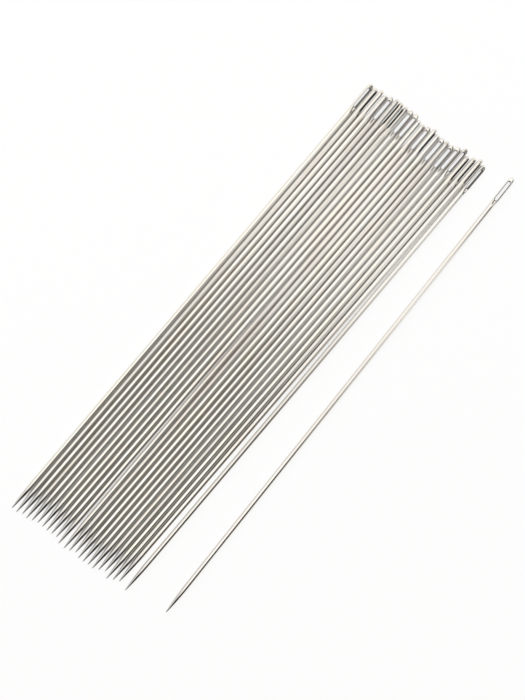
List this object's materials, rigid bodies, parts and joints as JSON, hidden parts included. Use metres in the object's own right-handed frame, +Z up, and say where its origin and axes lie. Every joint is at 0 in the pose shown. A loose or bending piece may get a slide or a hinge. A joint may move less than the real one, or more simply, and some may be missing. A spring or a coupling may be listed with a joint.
{
  "type": "sack needle set",
  "caption": "Straight steel sack needles with a ground point, a round wire shaft and a stamped head with a long slotted eye for twine, laid in a close row beside a loose needle.",
  "frame": {"origin": "on the table, under the middle of the set's box", "axes": "+Y along the loose needle from its point to its eye, +X across the needles towards the loose one, +Z up from the table"},
  "size_m": [0.0598, 0.1798, 0.002],
  "materials": {
    "nickel_steel": "bright nickel plate over drawn and ground steel wire"
  },
  "bodies": {
    "needle_01": {"needle_01_shaft": "nickel_steel", "needle_01_eye": "nickel_steel"},
    "needle_02": {"needle_02_shaft": "nickel_steel", "needle_02_eye": "nickel_steel"},
    "needle_03": {"needle_03_shaft": "nickel_steel", "needle_03_eye": "nickel_steel"},
    "needle_04": {"needle_04_shaft": "nickel_steel", "needle_04_eye": "nickel_steel"},
    "needle_05": {"needle_05_shaft": "nickel_steel", "needle_05_eye": "nickel_steel"},
    "needle_06": {"needle_06_shaft": "nickel_steel", "needle_06_eye": "nickel_steel"},
    "needle_07": {"needle_07_shaft": "nickel_steel", "needle_07_eye": "nickel_steel"},
    "needle_08": {"needle_08_shaft": "nickel_steel", "needle_08_eye": "nickel_steel"},
    "needle_09": {"needle_09_shaft": "nickel_steel", "needle_09_eye": "nickel_steel"},
    "needle_10": {"needle_10_shaft": "nickel_steel", "needle_10_eye": "nickel_steel"},
    "needle_11": {"needle_11_shaft": "nickel_steel", "needle_11_eye": "nickel_steel"},
    "needle_12": {"needle_12_shaft": "nickel_steel", "needle_12_eye": "nickel_steel"},
    "needle_13": {"needle_13_shaft": "nickel_steel", "needle_13_eye": "nickel_steel"},
    "needle_14": {"needle_14_shaft": "nickel_steel", "needle_14_eye": "nickel_steel"},
    "needle_15": {"needle_15_shaft": "nickel_steel", "needle_15_eye": "nickel_steel"},
    "needle_16": {"needle_16_shaft": "nickel_steel", "needle_16_eye": "nickel_steel"},
    "needle_17": {"needle_17_shaft": "nickel_steel", "needle_17_eye": "nickel_steel"},
    "needle_18": {"needle_18_shaft": "nickel_steel", "needle_18_eye": "nickel_steel"},
    "needle_19": {"needle_19_shaft": "nickel_steel", "needle_19_eye": "nickel_steel"},
    "needle_20": {"needle_20_shaft": "nickel_steel", "needle_20_eye": "nickel_steel"},
    "needle_21": {"needle_21_shaft": "nickel_steel", "needle_21_eye": "nickel_steel"},
    "needle_22": {"needle_22_shaft": "nickel_steel", "needle_22_eye": "nickel_steel"},
    "needle_23": {"needle_23_shaft": "nickel_steel", "needle_23_eye": "nickel_steel"},
    "needle_24": {"needle_24_shaft": "nickel_steel", "needle_24_eye": "nickel_steel"},
    "needle_25": {"needle_25_shaft": "nickel_steel", "needle_25_eye": "nickel_steel"}
  },
  "joints": [
    {"name": "needle_01_lift", "type": "slide", "parent": "needle_13", "child": "needle_01", "axis": [0, 0, 1], "range_m": [0, 0.04]},
    {"name": "needle_02_lift", "type": "slide", "parent": "needle_13", "child": "needle_02", "axis": [0, 0, 1], "range_m": [0, 0.04]},
    {"name": "needle_03_lift", "type": "slide", "parent": "needle_13", "child": "needle_03", "axis": [0, 0, 1], "range_m": [0, 0.04]},
    {"name": "needle_04_lift", "type": "slide", "parent": "needle_13", "child": "needle_04", "axis": [0, 0, 1], "range_m": [0, 0.04]},
    {"name": "needle_05_lift", "type": "slide", "parent": "needle_13", "child": "needle_05", "axis": [0, 0, 1], "range_m": [0, 0.04]},
    {"name": "needle_06_lift", "type": "slide", "parent": "needle_13", "child": "needle_06", "axis": [0, 0, 1], "range_m": [0, 0.04]},
    {"name": "needle_07_lift", "type": "slide", "parent": "needle_13", "child": "needle_07", "axis": [0, 0, 1], "range_m": [0, 0.04]},
    {"name": "needle_08_lift", "type": "slide", "parent": "needle_13", "child": "needle_08", "axis": [0, 0, 1], "range_m": [0, 0.04]},
    {"name": "needle_09_lift", "type": "slide", "parent": "needle_13", "child": "needle_09", "axis": [0, 0, 1], "range_m": [0, 0.04]},
    {"name": "needle_10_lift", "type": "slide", "parent": "needle_13", "child": "needle_10", "axis": [0, 0, 1], "range_m": [0, 0.04]},
    {"name": "needle_11_lift", "type": "slide", "parent": "needle_13", "child": "needle_11", "axis": [0, 0, 1], "range_m": [0, 0.04]},
    {"name": "needle_12_lift", "type": "slide", "parent": "needle_13", "child": "needle_12", "axis": [0, 0, 1], "range_m": [0, 0.04]},
    {"name": "needle_14_lift", "type": "slide", "parent": "needle_13", "child": "needle_14", "axis": [0, 0, 1], "range_m": [0, 0.04]},
    {"name": "needle_15_lift", "type": "slide", "parent": "needle_13", "child": "needle_15", "axis": [0, 0, 1], "range_m": [0, 0.04]},
    {"name": "needle_16_lift", "type": "slide", "parent": "needle_13", "child": "needle_16", "axis": [0, 0, 1], "range_m": [0, 0.04]},
    {"name": "needle_17_lift", "type": "slide", "parent": "needle_13", "child": "needle_17", "axis": [0, 0, 1], "range_m": [0, 0.04]},
    {"name": "needle_18_lift", "type": "slide", "parent": "needle_13", "child": "needle_18", "axis": [0, 0, 1], "range_m": [0, 0.04]},
    {"name": "needle_19_lift", "type": "slide", "parent": "needle_13", "child": "needle_19", "axis": [0, 0, 1], "range_m": [0, 0.04]},
    {"name": "needle_20_lift", "type": "slide", "parent": "needle_13", "child": "needle_20", "axis": [0, 0, 1], "range_m": [0, 0.04]},
    {"name": "needle_21_lift", "type": "slide", "parent": "needle_13", "child": "needle_21", "axis": [0, 0, 1], "range_m": [0, 0.04]},
    {"name": "needle_22_lift", "type": "slide", "parent": "needle_13", "child": "needle_22", "axis": [0, 0, 1], "range_m": [0, 0.04]},
    {"name": "needle_23_lift", "type": "slide", "parent": "needle_13", "child": "needle_23", "axis": [0, 0, 1], "range_m": [0, 0.04]},
    {"name": "needle_24_lift", "type": "slide", "parent": "needle_13", "child": "needle_24", "axis": [0, 0, 1], "range_m": [0, 0.04]},
    {"name": "needle_25_lift", "type": "slide", "parent": "needle_13", "child": "needle_25", "axis": [0, 0, 1], "range_m": [0, 0.04]}
  ]
}
